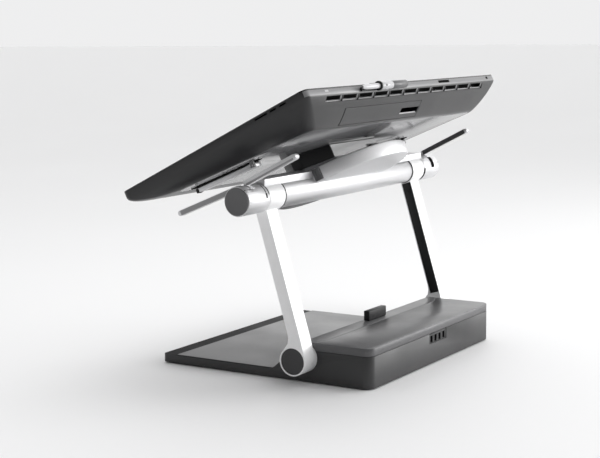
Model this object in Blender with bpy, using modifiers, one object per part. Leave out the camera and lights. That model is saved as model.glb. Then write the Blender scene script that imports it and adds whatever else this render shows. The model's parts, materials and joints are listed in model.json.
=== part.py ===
"""Pen display on a lifting stand: a heavy wedge base, two pivoting arms, a crossbar that tilts,
a turning mount and the display with its fold-out legs and its pen.

Metres, +Z up. The user sits on the -Y side. The origin is on the desk under the middle of the base.
"""
import math

import bmesh
import bpy
from mathutils import Matrix, Vector

GAP = 0.0003  # clearance between neighbouring pieces

# base
BASE_WIDTH = 0.447
BASE_DEPTH = 0.413
PLATE_TOP = 0.0156
FOOT_HEIGHT = 0.002
BOX_HEIGHT = 0.0674
BOX_REAR = BASE_DEPTH / 2
BOX_FRONT = 0.0802
RAMP_FRONT = 0.0200
BOX_CORNER = 0.016
NOSE_CORNER = 0.009
WALL = 0.003
COVER_DEPTH = 0.0135
STRIP_REAR = 0.1100
STRIP_NOTCH = 0.0980  # where the strip's rear edge meets the sides
MAT_FRONT = -0.1755
MAT_THICKNESS = 0.0012
PORT_LEFT = -0.0450
PORT_RIGHT = 0.0180
PORT_FLOOR = 0.0365
PORT_PITCH = 0.0152

# arms, in a frame at the lower pivot that leans with them
PIVOT_Y = 0.0841
PIVOT_Z = 0.0420
ARM_LEAN = math.radians(16.5)
ARM_INNER = 0.2316
ARM_OUTER = 0.2618
ARM_FRONT = 0.0048
ARM_REAR = 0.0255
RING_RADIUS = 0.0240
BOSS_FACE = 0.0005  # clearance of the ring's boss from the base's side
BAR_OFFSET = 0.0196
BAR_RISE = 0.2674
SHAFT_RADIUS = 0.0100
COLLAR_INNER = 0.2221
COLLAR_OUTER = 0.2668

# crossbar and its ends
TUBE_RADIUS = 0.0226
TUBE_WALL = 0.0030
HOUSING_RADIUS = 0.0236
BARREL_INNER = 0.2682
BARREL_OUTER = 0.3270
CAP_FACE = 0.3292
RAIL_INNER = 0.1256
RAIL_OUTER = 0.2700
RAIL_TOP = 0.0305
RAIL_DEPTH = 0.0290
LEVER_INNER = 0.2970
LEVER_OUTER = 0.3080
LEVER_CORE = 0.0160
LEVER_THICKNESS = 0.0090

# display, in a frame on the crossbar's axis that tilts with the glass
DISPLAY_TILT = math.radians(26.2)
GLASS_WIDTH = 0.677
GLASS_DEPTH = 0.3934
GLASS_FACE = 0.1011
GLASS_THICKNESS = 0.0018
STRIP_BOTTOM = 0.0896
BACK_REAR = 0.1516
BACK_FRONT = -0.1330
BACK_HALF = 0.2960
BACK_DROP = 0.0499
BACK_SLOPE = math.radians(3.5)
SHELL_WALL = 0.0025
DISC_RADIUS = 0.1250
DISC_TOP = 0.0250
PLATE_RISE = 0.0318
LEG_PIN_V = 0.0080
LEG_HALF_GAP = 0.2430
LEG_WIDTH = 0.0120
LEG_LENGTH = 0.1250
PEN_AXIS_V = 0.2052
PEN_AXIS_N = 0.0935
PEN_RADIUS = 0.0044
SLEEVE_RADIUS = 0.0066
SLEEVE_MOUTH = 0.1255

# the service door, in a frame on the sloping rear wall
DOOR_LEFT = -0.0480
DOOR_RIGHT = 0.2120
DOOR_TOP = 0.0250
DOOR_FOOT = 0.0570


# scene, materials and helpers

def clear_scene():
    for item in list(bpy.data.objects):
        bpy.data.objects.remove(item, do_unlink=True)


def new_collection(name, hidden=False):
    group = bpy.data.collections.new(name)
    bpy.context.scene.collection.children.link(group)
    group.hide_render = hidden
    return group


clear_scene()
PARTS = new_collection("pen_drawing_tablet")
CUTTERS = new_collection("cutters", hidden=True)


def material(name, color, roughness, metallic=0.0):
    made = bpy.data.materials.new(name)
    made.use_nodes = True
    shader = made.node_tree.nodes["Principled BSDF"]
    shader.inputs["Base Color"].default_value = (*color, 1.0)
    shader.inputs["Roughness"].default_value = roughness
    shader.inputs["Metallic"].default_value = metallic
    return made


BASE_PLASTIC = material("base_plastic", (0.060, 0.060, 0.063), 0.55)
COVER_PLASTIC = material("cover_plastic", (0.075, 0.075, 0.078), 0.50)
MAT_RUBBER = material("mat_rubber", (0.16, 0.16, 0.165), 0.80)
FOOT_RUBBER = material("foot_rubber", (0.03, 0.03, 0.03), 0.90)
ALUMINIUM = material("aluminium", (0.80, 0.80, 0.81), 0.35, 1.0)
CAP_PLASTIC = material("cap_plastic", (0.070, 0.070, 0.072), 0.45)
BLACK_PLASTIC = material("black_plastic", (0.015, 0.015, 0.016), 0.45)
STEEL = material("steel", (0.45, 0.45, 0.46), 0.35, 1.0)
SHELL_PLASTIC = material("shell_plastic", (0.055, 0.055, 0.058), 0.40)
BACK_PLASTIC = material("back_plastic", (0.42, 0.42, 0.43), 0.22)
SCREEN_GLASS = material("screen_glass", (0.02, 0.02, 0.022), 0.08)
BOARD_GREEN = material("board", (0.03, 0.12, 0.05), 0.60)
PEN_PLASTIC = material("pen_plastic", (0.55, 0.55, 0.56), 0.30)


def add_frame(name, parent=None, location=(0.0, 0.0, 0.0), turn_x=0.0):
    frame = bpy.data.objects.new(name, None)
    PARTS.objects.link(frame)
    frame.parent = parent
    frame.location = location
    frame.rotation_euler = (turn_x, 0.0, 0.0)
    return frame


def add_object(name, mesh, finish=None, parent=None, location=(0.0, 0.0, 0.0), turn_x=0.0):
    """Link a mesh as a named piece, or as a hidden cutter when it has no finish."""
    item = bpy.data.objects.new(name, mesh)
    (PARTS if finish else CUTTERS).objects.link(item)
    if finish:
        mesh.materials.append(finish)
    else:
        item.hide_render = True
        item.display_type = "WIRE"
    item.parent = parent
    item.location = location
    item.rotation_euler = (turn_x, 0.0, 0.0)
    return item


def mesh_from(name, build):
    """A mesh whose bmesh is filled by build(bm)."""
    mesh = bpy.data.meshes.new(name)
    bm = bmesh.new()
    build(bm)
    bmesh.ops.recalc_face_normals(bm, faces=bm.faces)
    bm.to_mesh(mesh)
    bm.free()
    return mesh


def block(name, low, high):
    """An axis-aligned box mesh between two corners."""
    size = [b - a for a, b in zip(low, high)]
    middle = [(a + b) / 2 for a, b in zip(low, high)]

    def build(bm):
        move = Matrix.Translation(middle) @ Matrix.Diagonal((*size, 1.0))
        bmesh.ops.create_cube(bm, size=1.0, matrix=move)

    return mesh_from(name, build)


ALONG_X = Matrix.Rotation(math.pi / 2, 4, "Y")


def rod(name, radius, start, end, sides=32, across=(0.0, 0.0), end_radius=None):
    """A cylinder or cone mesh along X from start to end, centred on (y, z)."""
    tip = radius if end_radius is None else end_radius

    def build(bm):
        move = Matrix.Translation(((start + end) / 2, *across)) @ ALONG_X
        bmesh.ops.create_cone(bm, cap_ends=True, segments=sides, radius1=radius, radius2=tip,
                              depth=end - start, matrix=move)

    mesh = mesh_from(name, build)
    round_off(mesh)
    return mesh


def round_off(mesh, angle=35.0):
    mesh.shade_smooth()
    mesh.set_sharp_from_angle(angle=math.radians(angle))


def arc(centre, radius, start, end, steps):
    """Points of an arc, angles in degrees from the first axis."""
    points = []
    for i in range(steps + 1):
        angle = math.radians(start + (end - start) * i / steps)
        points.append((centre[0] + radius * math.cos(angle), centre[1] + radius * math.sin(angle)))
    return points


def rounded_rectangle(left, right, low, high, radius, steps=4):
    corners = [((right - radius, high - radius), 0), ((left + radius, high - radius), 90),
               ((left + radius, low + radius), 180), ((right - radius, low + radius), 270)]
    points = []
    for centre, start in corners:
        points += arc(centre, radius, start, start + 90, steps)
    return points


def slab(name, outline, low, high, along_x=False):
    """A flat outline given a thickness from low to high, upright in Z or along X."""
    curve = bpy.data.curves.new(name, "CURVE")
    curve.dimensions = "2D"
    curve.fill_mode = "BOTH"
    curve.extrude = (high - low) / 2
    spline = curve.splines.new("POLY")
    spline.points.add(len(outline) - 1)
    for point, (u, v) in zip(spline.points, outline):
        point.co = (u, v, 0.0, 1.0)
    spline.use_cyclic_u = True
    guide = bpy.data.objects.new(name, curve)
    CUTTERS.objects.link(guide)
    mesh = bpy.data.meshes.new_from_object(guide.evaluated_get(bpy.context.evaluated_depsgraph_get()))
    bpy.data.objects.remove(guide)
    bm = bmesh.new()
    bm.from_mesh(mesh)
    bmesh.ops.remove_doubles(bm, verts=bm.verts, dist=1e-6)
    bmesh.ops.recalc_face_normals(bm, faces=bm.faces)
    turn = Matrix(((0, 0, 1, 0), (1, 0, 0, 0), (0, 1, 0, 0), (0, 0, 0, 1))) if along_x else Matrix()
    bm.transform(turn @ Matrix.Translation((0.0, 0.0, (low + high) / 2)))
    bm.to_mesh(mesh)
    bm.free()
    mesh.name = name
    return mesh


def turned(name, profile, finish, parent, location=(0.0, 0.0, 0.0), steps=48, turn_x=0.0):
    """A piece turned about its own Z from a closed profile at +X, listed from top to bottom outside."""
    mesh = bpy.data.meshes.new(name)
    edges = [(i, i + 1) for i in range(len(profile) - 1)]
    mesh.from_pydata([(r, 0.0, z) for r, z in profile], edges, [])
    item = add_object(name, mesh, finish, parent, location, turn_x)
    screw = item.modifiers.new("turn", "SCREW")
    screw.steps = steps
    screw.render_steps = steps
    screw.use_merge_vertices = True
    screw.merge_threshold = 1e-5
    screw.use_smooth_shade = False
    return item


def boolean(target, mesh, operation="DIFFERENCE", parent=None, location=(0.0, 0.0, 0.0), turn_x=0.0):
    cutter = add_object(mesh.name, mesh, None, parent, location, turn_x)
    change = target.modifiers.new(mesh.name, "BOOLEAN")
    change.operation = operation
    change.solver = "EXACT"
    change.object = cutter


def soften(item, width, segments=2, angle=40.0):
    bevel = item.modifiers.new("edges", "BEVEL")
    bevel.width = width
    bevel.segments = segments
    bevel.limit_method = "ANGLE"
    bevel.angle_limit = math.radians(angle)


def mirrored(outline):
    return [(-u, v) for u, v in reversed(outline)]


SIDES = (("left", 1.0), ("right", -1.0))


def span(side, inner, outer):
    """Low and high X of a piece that lies from inner to outer on one side."""
    return (inner, outer) if side > 0 else (-outer, -inner)


# base

def base_outline(inset=0.0, front=-BASE_DEPTH / 2, nose=0.0):
    """The base seen from above: large round corners behind, and small ones or none in front."""
    half = BASE_WIDTH / 2 - inset
    rear = BOX_REAR - inset
    radius = BOX_CORNER - inset
    outline = [(-half, front), (half, front)]
    if nose:
        outline = arc((-half + nose, front + nose), nose, 180, 270, 4)
        outline += arc((half - nose, front + nose), nose, 270, 360, 4)
    outline += arc((half - radius, rear - radius), radius, 0, 90, 5)
    outline += arc((-half + radius, rear - radius), radius, 90, 180, 5)
    return outline


def make_base_tray():
    """Front plate, ramp and the walls of the rear box, in one moulding that is open on top."""
    whole = slab("base_tray", base_outline(nose=NOSE_CORNER), FOOT_HEIGHT, BOX_HEIGHT)
    tray = add_object("base_tray", whole, BASE_PLASTIC)
    far = BASE_WIDTH
    above = 0.2
    rim = BOX_HEIGHT - COVER_DEPTH
    ramp = [(-BASE_DEPTH, PLATE_TOP), (RAMP_FRONT, PLATE_TOP), (BOX_FRONT, BOX_HEIGHT), (BOX_FRONT, above),
            (-BASE_DEPTH, above)]
    boolean(tray, slab("ramp_cut", ramp, -far, far, along_x=True))
    boolean(tray, slab("box_cut", base_outline(WALL, BOX_FRONT + WALL), FOOT_HEIGHT + WALL, above))
    boolean(tray, block("rim_cut", (-far, BOX_FRONT - GAP, rim), (far, far, above)))
    boolean(tray, rod("tray_shaft_hole", SHAFT_RADIUS + 0.0005, -far, far, 32, (PIVOT_Y, PIVOT_Z)))
    boolean(tray, block("port_cut", (PORT_LEFT - 0.0005, BOX_REAR - 0.010, PORT_FLOOR - 0.0003),
                        (PORT_RIGHT + 0.0005, BOX_REAR + 0.01, above)))


def strip_outline(setback):
    """Rear edge of the front strip from left to right, moved forward by a setback."""
    half = BASE_WIDTH / 2
    end = half - 0.0350
    return [(half, STRIP_NOTCH - setback), (end, STRIP_REAR - setback),
            (-end, STRIP_REAR - setback), (-half, STRIP_NOTCH - setback)]


def make_top_cover():
    """Lid of the rear box and the strip along its front edge."""
    low = BOX_HEIGHT - COVER_DEPTH + GAP
    ceiling = BOX_HEIGHT - WALL
    half = BASE_WIDTH / 2
    lid = slab("top_cover", base_outline(front=BOX_FRONT), low, BOX_HEIGHT)
    cover = add_object("top_cover", lid, COVER_PLASTIC)
    front_half = [(-half - 0.01, 0.0), (half + 0.01, 0.0), (half + 0.01, STRIP_NOTCH)]
    front_half += strip_outline(0.0) + [(-half - 0.01, STRIP_NOTCH)]
    boolean(cover, slab("seam_cut", front_half, 0.0, 0.1))
    boolean(cover, slab("cover_hollow", base_outline(WALL, STRIP_REAR + WALL), 0.0, ceiling))
    strip = [(-half, BOX_FRONT), (half, BOX_FRONT)] + strip_outline(GAP)
    front = add_object("front_strip", slab("front_strip", strip, low, BOX_HEIGHT), COVER_PLASTIC)
    boolean(front, block("strip_hollow", (-0.2, BOX_FRONT + WALL, 0.0), (0.2, STRIP_NOTCH - WALL, ceiling)))


def make_mat():
    half = BASE_WIDTH / 2 - 0.0015
    low = PLATE_TOP + GAP
    outline = [(-half, MAT_FRONT), (half, MAT_FRONT), (half, RAMP_FRONT - 0.001), (-half, RAMP_FRONT - 0.001)]
    add_object("mat", slab("mat", outline, low, low + MAT_THICKNESS), MAT_RUBBER)


def make_port_panel():
    """Recessed panel in the rear wall with four upright sockets."""
    top = BOX_HEIGHT - COVER_DEPTH - 0.0005
    face = BOX_REAR - 0.0006
    plate = block("port_panel", (PORT_LEFT, BOX_REAR - 0.0090, PORT_FLOOR), (PORT_RIGHT, face, top))
    panel = add_object("port_panel", plate, BLACK_PLASTIC)
    half = 0.0038
    deep = BOX_REAR - 0.0080
    for i in range(4):
        x = -0.0354 + PORT_PITCH * i
        boolean(panel, block("socket_%d" % i, (x - half, deep, 0.0382), (x + half, BOX_REAR + 0.01, 0.0494)))


def make_rest_tab():
    low = BOX_HEIGHT + GAP
    tab = block("rest_tab", (-0.0310, 0.0850, low), (0.0310, 0.0960, low + 0.0175))
    soften(add_object("rest_tab", tab, BLACK_PLASTIC), 0.0015)


def make_base_inside():
    """Steel ballast, the hub board and the two blocks that carry the shaft."""
    floor = FOOT_HEIGHT + WALL + GAP
    ballast = block("ballast_plate", (-0.1750, 0.1150, floor), (0.1750, 0.1850, 0.0290))
    add_object("ballast_plate", ballast, STEEL)
    board = block("hub_board", (-0.0560, 0.1330, 0.0320), (0.0300, 0.1960, 0.0336))
    add_object("hub_board", board, BOARD_GREEN)
    for name, side in SIDES:
        low, high = span(side, 0.1850, 0.2150)
        cradle = block("bearing_block_" + name, (low, BOX_FRONT + WALL + GAP, floor), (high, 0.1040, 0.0536))
        bearing = add_object("bearing_block_" + name, cradle, STEEL)
        across = (PIVOT_Y, PIVOT_Z)
        bore = rod("bearing_bore_" + name, SHAFT_RADIUS + 0.0004, low - 0.01, high + 0.01, 32, across)
        boolean(bearing, bore)


def make_feet():
    pad = [(-0.0300, -0.0050), (0.0300, 0.0050)]
    for name, x, y in (("front_left", 0.175, -0.190), ("front_right", -0.175, -0.190),
                       ("rear_left", 0.175, 0.185), ("rear_right", -0.175, 0.185)):
        outline = rounded_rectangle(x + pad[0][0], x + pad[1][0], y + pad[0][1], y + pad[1][1], 0.004, 3)
        add_object("foot_" + name, slab("foot_" + name, outline, 0.0, FOOT_HEIGHT - GAP), FOOT_RUBBER)


# arms

def arm_outline():
    """Arm seen from the side: a ring below, a straight bar with a filleted front, up to the crossbar."""
    top = BAR_RISE + 0.0013
    outline = [(ARM_REAR, top), (ARM_FRONT, top), (ARM_FRONT, 0.0480)]
    outline += [(ARM_FRONT - 0.0010, 0.0380), (ARM_FRONT - 0.0050, 0.0295)]
    outline += arc((0.0, 0.0), RING_RADIUS, 119, 356, 24)
    outline += [(RING_RADIUS + 0.0006, 0.0060), (ARM_REAR, 0.0300)]
    return outline


def make_arm(name, side, pivot):
    """Ring and bar with the boss below, the collar above and the grooves for the covers."""
    low, high = span(side, ARM_INNER, ARM_OUTER)
    bar = slab("arm_" + name, arm_outline(), low, high, along_x=True)
    arm = add_object("arm_" + name, bar, ALUMINIUM, pivot)
    boss = span(side, BASE_WIDTH / 2 + BOSS_FACE, ARM_INNER + 0.0030)
    boolean(arm, rod("boss_" + name, RING_RADIUS - 0.0002, *boss, 40), "UNION", pivot)
    collar = span(side, COLLAR_INNER, COLLAR_OUTER)
    across = (BAR_OFFSET, BAR_RISE)
    boolean(arm, rod("collar_" + name, HOUSING_RADIUS, *collar, 40, across), "UNION", pivot)
    bore = rod("collar_bore_" + name, SHAFT_RADIUS + 0.0004, *span(side, 0.20, 0.30), 32, across)
    boolean(arm, bore, "DIFFERENCE", pivot)
    seat = rod("shaft_seat_" + name, SHAFT_RADIUS + 0.0004, *span(side, 0.20, 0.2360), 32)
    boolean(arm, seat, "DIFFERENCE", pivot)
    socket = rod("cap_socket_" + name, 0.0219, *span(side, ARM_OUTER - 0.0030, ARM_OUTER + 0.01), 40)
    boolean(arm, socket, "DIFFERENCE", pivot)
    left, right = span(side, ARM_INNER - 0.01, ARM_INNER + 0.0020)
    edge = 0.0012
    groove = block("cover_groove_" + name, (left, ARM_FRONT + edge, 0.0300), (right, ARM_REAR - edge, 0.2435))
    boolean(arm, groove, "DIFFERENCE", pivot)


def make_arms(pivot):
    edge = 0.0015
    for name, side in SIDES:
        make_arm(name, side, pivot)
        left, right = span(side, ARM_INNER, ARM_INNER + 0.0017)
        cover = block("arm_cover_" + name, (left, ARM_FRONT + edge, 0.0303), (right, ARM_REAR - edge, 0.2432))
        add_object("arm_cover_" + name, cover, BLACK_PLASTIC, pivot)
        cap = span(side, ARM_OUTER - 0.0027, ARM_OUTER - 0.0004)
        add_object("pivot_cap_" + name, rod("pivot_cap_" + name, 0.0216, *cap, 40), CAP_PLASTIC, pivot)
    reach = 0.2350
    add_object("pivot_shaft", rod("pivot_shaft", SHAFT_RADIUS, -reach, reach, 32), STEEL, pivot)


# crossbar

def make_crossbar(head, level):
    tube_end = COLLAR_INNER - GAP
    tube = add_object("crossbar", rod("crossbar", TUBE_RADIUS, -tube_end, tube_end, 40), ALUMINIUM, head)
    boolean(tube, rod("crossbar_bore", TUBE_RADIUS - TUBE_WALL, -0.25, 0.25, 40), "DIFFERENCE", head)
    shaft_end = 0.2960
    add_object("cross_shaft", rod("cross_shaft", SHAFT_RADIUS, -shaft_end, shaft_end, 32), STEEL, head)
    make_spring(head)
    for name, side in SIDES:
        low, high = span(side, RAIL_INNER, RAIL_OUTER)
        bar = block("top_rail_" + name, (low, -RAIL_DEPTH / 2, 0.0170), (high, RAIL_DEPTH / 2, RAIL_TOP))
        rail = add_object("top_rail_" + name, bar, ALUMINIUM, level)
        saddle = rod("rail_saddle_" + name, HOUSING_RADIUS + 0.0004, -0.3, 0.3, 40)
        boolean(rail, saddle, "DIFFERENCE", level)


def upright_disc(name, radius, low, high, sides=64):
    """A cylinder mesh about Z."""
    def build(bm):
        move = Matrix.Translation((0.0, 0.0, (low + high) / 2))
        bmesh.ops.create_cone(bm, cap_ends=True, segments=sides, radius1=radius, radius2=radius,
                              depth=high - low, matrix=move)

    mesh = mesh_from(name, build)
    round_off(mesh)
    return mesh


def make_spring(head):
    """Counterbalance spring wound around the cross shaft inside the tube."""
    turns = 9
    per_turn = 14
    curve = bpy.data.curves.new("tilt_spring", "CURVE")
    curve.dimensions = "3D"
    curve.bevel_depth = 0.0014
    curve.bevel_resolution = 1
    curve.use_fill_caps = True
    spline = curve.splines.new("POLY")
    count = turns * per_turn + 1
    spline.points.add(count - 1)
    for i, point in enumerate(spline.points):
        angle = 2 * math.pi * i / per_turn
        x = 0.1450 + 0.0050 * i / per_turn
        point.co = (x, 0.0135 * math.cos(angle), 0.0135 * math.sin(angle), 1.0)
    spring = bpy.data.objects.new("tilt_spring", curve)
    PARTS.objects.link(spring)
    curve.materials.append(STEEL)
    spring.parent = head


def make_barrels(head, level):
    """Friction housings outside the arms, each with a slot for its two levers and a flat end cap."""
    slot_end = 183
    slack = 0.0005
    for name, side in SIDES:
        slot_start = 40 if side > 0 else 2
        whole = rod("barrel_" + name, HOUSING_RADIUS + 0.0003, *span(side, BARREL_INNER, BARREL_OUTER), 40)
        barrel = add_object("barrel_" + name, whole, ALUMINIUM, head)
        bore = rod("barrel_bore_" + name, SHAFT_RADIUS + 0.0003, *span(side, 0.25, 0.2965), 32)
        boolean(barrel, bore, "DIFFERENCE", head)
        ring = arc((0.0, 0.0), 0.0300, slot_start, slot_end, 18)
        ring += arc((0.0, 0.0), LEVER_CORE - GAP, slot_end, slot_start, 18)
        low, high = span(side, LEVER_INNER - slack, LEVER_OUTER + slack)
        boolean(barrel, slab("lever_slot_" + name, ring, low, high, along_x=True), "DIFFERENCE", level)
        cap = rod("end_cap_" + name, HOUSING_RADIUS - 0.0014, *span(side, BARREL_OUTER + GAP, CAP_FACE), 40)
        add_object("end_cap_" + name, cap, CAP_PLASTIC, head)


def lever_outline(slope, offset, reach, foot_end):
    """Lever from the side: a curved foot in the slot and a straight handle with a round tip.

    Slope and foot_end are in degrees; offset is how far the handle's underside passes from the axis.
    """
    foot_radius = HOUSING_RADIUS + 0.0013
    heel = 90 + slope - math.degrees(math.acos(offset / foot_radius))
    foot_start = heel - 20
    outline = arc((0.0, 0.0), LEVER_CORE, foot_end, foot_start, 6)
    outline += arc((0.0, 0.0), foot_radius, foot_start, heel, 4)
    angle = math.radians(slope)
    along = Vector((math.cos(angle), math.sin(angle)))
    up = Vector((-math.sin(angle), math.cos(angle)))
    radius = LEVER_THICKNESS / 2
    nose = along * (reach - radius) + up * (offset + radius)
    outline += arc(nose, radius, slope - 90, slope + 90, 6)
    rise = (offset + LEVER_THICKNESS) / math.cos(math.radians(foot_end - 90 - slope))
    outline += arc((0.0, 0.0), rise, foot_end, foot_end, 1)[:1]
    return outline


def make_levers(level):
    rear = lever_outline(26.6, 0.0185, 0.1200, 90)
    front = mirrored(lever_outline(-22.1, 0.0172, 0.1310, 62))
    for name, side in SIDES:
        low, high = span(side, LEVER_INNER, LEVER_OUTER)
        for place, outline in (("rear", rear), ("front", front)):
            title = "lever_%s_%s" % (place, name)
            add_object(title, slab(title, outline, low, high, along_x=True), ALUMINIUM, level)


# mount

def make_mount(head):
    """Round plate fixed over the crossbar, with the spigot that the display turns on."""
    edge = 0.0030
    inner = 0.0050
    spigot = 0.0136
    disc = [(0.0, PLATE_RISE - GAP), (spigot, PLATE_RISE - GAP), (spigot, DISC_TOP)]
    disc += [(DISC_RADIUS - edge, DISC_TOP), (DISC_RADIUS, DISC_TOP - edge)]
    disc += [(DISC_RADIUS, edge), (DISC_RADIUS - edge, 0.0), (0.0, 0.0)]
    mount = turned("mount_disc", disc, ALUMINIUM, head, steps=72)
    boolean(mount, rod("disc_tube_cut", TUBE_RADIUS + GAP, -0.2, 0.2, 40), "DIFFERENCE", head)
    hollow = block("disc_hollow", (-0.0650, -0.0950, inner - 0.02), (0.0650, -0.0400, DISC_TOP - inner))
    boolean(mount, hollow, "DIFFERENCE", head)
    pocket = block("lock_pocket", (0.1030, 0.0236, 0.0026), (0.1300, 0.0384, 0.0234))
    boolean(mount, pocket, "DIFFERENCE", head)
    knob = block("rotation_lock", (0.1050, 0.0240, 0.0030), (0.1235, 0.0380, 0.0230))
    soften(add_object("rotation_lock", knob, CAP_PLASTIC, head), 0.0015)


# display

def back_height(v):
    """Height of the flat back above the crossbar's axis at a place along the glass."""
    return BACK_DROP + (BACK_REAR - v) * math.tan(BACK_SLOPE)


def swell(share, power):
    """How far a wall has dropped when it has come in by this share: bulging, never concave."""
    return (1 - (1 - share) ** power) ** (1 / power)


def shell_ring(share):
    """Outline of the back shell where its wall has come in by this share of its slope."""
    half = GLASS_WIDTH / 2 + (BACK_HALF - GLASS_WIDTH / 2) * share
    rear = GLASS_DEPTH / 2 + (BACK_REAR - GLASS_DEPTH / 2) * share
    front = -GLASS_DEPTH / 2 + (BACK_FRONT + GLASS_DEPTH / 2) * share
    outline = rounded_rectangle(-half, half, front, rear, 0.012 + 0.010 * share, 4)
    ring = []
    for x, v in outline:
        frontness = min(max((-0.10 - v) / 0.04, 0.0), 1.0)
        drop = swell(share, 1.15 + 0.80 * frontness)
        ring.append((x, v, STRIP_BOTTOM + (back_height(v) - STRIP_BOTTOM) * drop))
    return ring


def shell_surface(name):
    """Open tray surface: the edge strip, the bulging walls and the flat back."""
    rings = [[(x, v, GLASS_FACE - GLASS_THICKNESS - GAP) for x, v, _ in shell_ring(0.0)]]
    rings += [shell_ring(share) for share in (0.0, 0.12, 0.3, 0.55, 0.8, 1.0)]
    mesh = bpy.data.meshes.new(name)
    bm = bmesh.new()
    loops = [[bm.verts.new(point) for point in ring] for ring in rings]
    for upper, lower in zip(loops, loops[1:]):
        for i in range(len(upper)):
            j = (i + 1) % len(upper)
            bm.faces.new((upper[i], lower[i], lower[j], upper[j]))
    bm.faces.new(list(reversed(loops[-1])))
    bmesh.ops.recalc_face_normals(bm, faces=bm.faces)
    bm.to_mesh(mesh)
    bm.free()
    round_off(mesh, 30.0)
    return mesh


def wall_frame(parent):
    """A frame on the sloping rear wall: X along it, Y down it and Z out of the shell."""
    drop = back_height(BACK_REAR) - STRIP_BOTTOM
    run = BACK_REAR - GLASS_DEPTH / 2
    slope = math.atan2(drop, run)
    return add_frame("rear_wall", parent, (0.0, GLASS_DEPTH / 2, STRIP_BOTTOM), slope)


def panel_outline(margin):
    """The panel let into the flat back, with its margin from the back's edges."""
    half = BACK_HALF - margin
    return rounded_rectangle(-half, half, BACK_FRONT + margin, BACK_REAR - margin, 0.0160, 4)


def make_back_panel(back, pins):
    """Light flat panel, flush in the shell, with the ears that carry the legs' pins."""
    margin = 0.0045
    sheet = slab("back_panel", panel_outline(margin), 0.0, SHELL_WALL)
    panel = add_object("back_panel", sheet, BACK_PLASTIC, back)
    for (name, side), pin in zip(SIDES, pins):
        add_leg_lugs(panel, name, side, pin)


def make_back_shell(head, wall, back):
    """Dark shell behind the glass: edge strip, sloping walls and a rim round the flat panel."""
    shell = add_object("back_shell", shell_surface("back_shell"), SHELL_PLASTIC, head)
    solid = shell.modifiers.new("wall", "SOLIDIFY")
    solid.thickness = SHELL_WALL
    solid.offset = -1.0
    solid.use_even_offset = True
    vents = 11
    pitch = 0.0510
    half = pitch / 2 - 0.0016
    for i in range(vents):
        x = (i - (vents - 1) / 2) * pitch
        opening = block("vent_cut_%d" % i, (x - half, 0.0034, -0.012), (x + half, 0.0118, 0.012))
        boolean(shell, opening, "DIFFERENCE", wall)
    door = block("door_cut", (DOOR_LEFT, DOOR_TOP, -0.012), (DOOR_RIGHT, DOOR_FOOT, 0.012))
    boolean(shell, door, "DIFFERENCE", wall)
    middle = (STRIP_BOTTOM + GLASS_FACE) / 2
    button = block("button_cut", (-0.1455, 0.1900, middle - 0.0024), (-0.1035, 0.2050, middle + 0.0024))
    boolean(shell, button, "DIFFERENCE", head)
    hole = block("lock_slot_cut", (-0.3055, 0.1900, middle - 0.0020), (-0.2995, 0.2050, middle + 0.0020))
    boolean(shell, hole, "DIFFERENCE", head)
    boolean(shell, slab("panel_cut", panel_outline(0.0042), -0.01, 0.01), "DIFFERENCE", back)


def add_leg_lugs(panel, name, side, pin):
    """Two ears under the flat back that carry a leg's pin."""
    outer = LEG_HALF_GAP + LEG_WIDTH + GAP
    for place, inner in (("in", LEG_HALF_GAP - GAP - 0.0040), ("out", outer)):
        low, high = span(side, inner, inner + 0.0040)
        ear = block("lug_%s_%s" % (place, name), (low, -0.0036, -0.0030), (high, 0.0036, 0.0075))
        boolean(panel, ear, "UNION", pin)
    low, high = span(side, LEG_HALF_GAP - 0.01, outer + 0.01)
    boolean(panel, rod("lug_bore_" + name, 0.0018, low, high, 16), "DIFFERENCE", pin)


def make_service_door(wall):
    """Snap-in cover over the sockets that follows the wall's bulge, with a finger recess at one end."""
    slack = 0.0004
    top = DOOR_TOP + slack
    foot = DOOR_FOOT - slack
    inside = [(top, -0.0012), (foot, -0.0026)]
    profile = inside + [(foot, 0.0005), (0.0480, 0.0016), (0.0380, 0.0024), (top, 0.0026)]
    panel = slab("service_door", profile, DOOR_LEFT + slack, DOOR_RIGHT - slack, along_x=True)
    door = add_object("service_door", panel, SHELL_PLASTIC, wall)
    boolean(door, block("finger_cut", (-0.0450, 0.0372, -0.0002), (0.0170, 0.0470, 0.01)), "DIFFERENCE", wall)


def make_screen(head):
    half = GLASS_WIDTH / 2
    depth = GLASS_DEPTH / 2
    low = GLASS_FACE - GLASS_THICKNESS
    outline = rounded_rectangle(-half, half, -depth, depth, 0.012, 4)
    add_object("front_glass", slab("front_glass", outline, low, GLASS_FACE), SCREEN_GLASS, head)
    top = low - GAP
    panel = block("lcd_panel", (-0.2650, -0.1500, top - 0.0080), (0.2650, 0.1500, top))
    add_object("lcd_panel", panel, STEEL, head)
    board = block("main_board", (-0.1600, -0.0100, 0.0740), (0.1600, 0.1100, 0.0756))
    add_object("main_board", board, BOARD_GREEN, head)
    middle = (STRIP_BOTTOM + GLASS_FACE) / 2
    face = depth + 0.0006
    button = block("power_button", (-0.1450, 0.1935, middle - 0.0019), (-0.1040, face, middle + 0.0019))
    add_object("power_button", button, BLACK_PLASTIC, head)


def octagon(half_x, half_v, corner):
    return [(half_x, -half_v + corner), (half_x, half_v - corner), (half_x - corner, half_v),
            (-half_x + corner, half_v), (-half_x, half_v - corner), (-half_x, -half_v + corner),
            (-half_x + corner, -half_v), (half_x - corner, -half_v)]


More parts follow.
